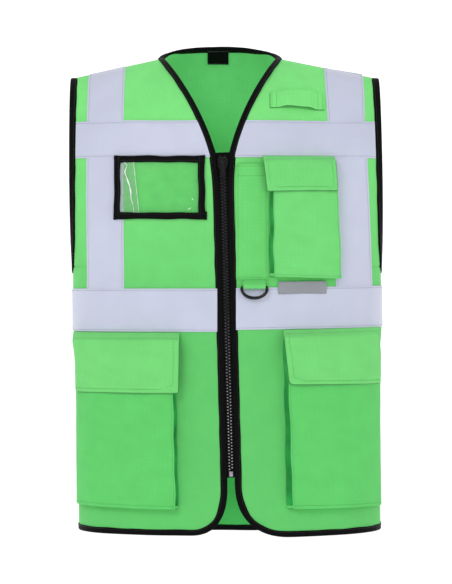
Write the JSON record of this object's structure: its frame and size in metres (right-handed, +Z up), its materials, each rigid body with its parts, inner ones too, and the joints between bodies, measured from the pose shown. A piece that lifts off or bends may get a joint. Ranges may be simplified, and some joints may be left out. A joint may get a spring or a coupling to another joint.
{
  "type": "high visibility vest",
  "caption": "Sleeveless high visibility safety vest, zip front, with reflective tape, clear identity window, chest and hip pockets, microphone loop and hanging ring, shown as worn.",
  "frame": {"origin": "on the body centre plane, at the height of the neck ends of the shoulder seams, where the shoulders carry the vest", "axes": "+Z up; -Y towards the front of the wearer; +X towards the wearer's left side"},
  "size_m": [0.4264, 0.2635, 0.672],
  "materials": {
    "fluorescent_green_cloth": "matte polyester knit",
    "back_green_cloth": "matte polyester knit, seen from inside",
    "reflective_tape": "smooth retro-reflective",
    "black_binding": "matte ribbed",
    "black_plastic": "gloss",
    "grey_plastic": "satin",
    "hook_and_loop": "rough",
    "clear_vinyl": "gloss, clear",
    "grey_label_cloth": "satin woven"
  },
  "bodies": {
    "vest": {"armhole_binding_left": "black_binding", "armhole_binding_right": "black_binding", "back_hem_binding": "black_binding", "back_panel": "back_green_cloth", "brace_tape_back_left": "reflective_tape", "brace_tape_back_right": "reflective_tape", "brace_tape_front_left": "reflective_tape", "brace_tape_front_right": "reflective_tape", "chest_tape_back": "reflective_tape", "chest_tape_left": "reflective_tape", "chest_tape_right": "reflective_tape", "d_ring_tab": "fluorescent_green_cloth", "front_binding_left": "black_binding", "front_binding_right": "black_binding", "front_panel_left": "fluorescent_green_cloth", "front_panel_right": "fluorescent_green_cloth", "id_window_film": "clear_vinyl", "id_window_frame": "black_binding", "id_window_side_strip": "clear_vinyl", "left_pocket_bag": "fluorescent_green_cloth", "left_pocket_loop_strip": "hook_and_loop", "mic_loop": "fluorescent_green_cloth", "neck_binding": "black_binding", "neck_label": "black_binding", "pen_pocket": "fluorescent_green_cloth", "phone_pocket_bag": "fluorescent_green_cloth", "phone_pocket_loop_strip": "hook_and_loop", "right_pocket_bag": "fluorescent_green_cloth", "right_pocket_loop_strip": "hook_and_loop", "side_label": "grey_label_cloth", "waist_tape_back": "reflective_tape", "waist_tape_left": "reflective_tape", "waist_tape_right": "reflective_tape", "zip_insert_pin": "grey_plastic", "zip_retainer_box": "grey_plastic", "zip_tape_left": "black_binding", "zip_tape_right": "black_binding", "zip_teeth_left": "black_plastic", "zip_teeth_right": "black_plastic", "zip_top_stop_left": "black_plastic", "zip_top_stop_right": "black_plastic"},
    "slider": {"zip_slider": "black_plastic", "zip_slider_back": "black_plastic"},
    "pull": {"zip_pull": "black_plastic"},
    "phone_flap": {"phone_pocket_flap": "fluorescent_green_cloth", "phone_pocket_hook_strip": "hook_and_loop"},
    "right_flap": {"right_pocket_flap": "fluorescent_green_cloth", "right_pocket_hook_strip": "hook_and_loop"},
    "left_flap": {"left_pocket_flap": "fluorescent_green_cloth", "left_pocket_hook_strip": "hook_and_loop"},
    "ring": {"d_ring": "black_plastic"}
  },
  "joints": [
    {"name": "zip_slide", "type": "slide", "parent": "vest", "child": "slider", "axis": [0.0267, 0, -0.9996], "range_m": [0, 0.393]},
    {"name": "zip_pull_swing", "type": "hinge", "parent": "slider", "child": "pull", "pos_m": [-0.00579, -0.1302, -0.145], "axis": [-0.9996, 0, -0.0267], "range_deg": [0, 165]},
    {"name": "phone_flap_lift", "type": "hinge", "parent": "vest", "child": "phone_flap", "pos_m": [0.10027, -0.1171, -0.13748], "axis": [-0.9805, -0.1967, 0], "range_deg": [0, 90]},
    {"name": "right_flap_lift", "type": "hinge", "parent": "vest", "child": "right_flap", "pos_m": [-0.13234, -0.1134, -0.3725], "axis": [-0.8953, 0.4455, 0], "range_deg": [0, 110]},
    {"name": "left_flap_lift", "type": "hinge", "parent": "vest", "child": "left_flap", "pos_m": [0.14053, -0.11095, -0.37], "axis": [-0.871, -0.4914, 0], "range_deg": [0, 110]},
    {"name": "d_ring_swing", "type": "hinge", "parent": "vest", "child": "ring", "pos_m": [0.03608, -0.13151, -0.3096], "axis": [-1, 0, 0], "range_deg": [0, 120]}
  ]
}
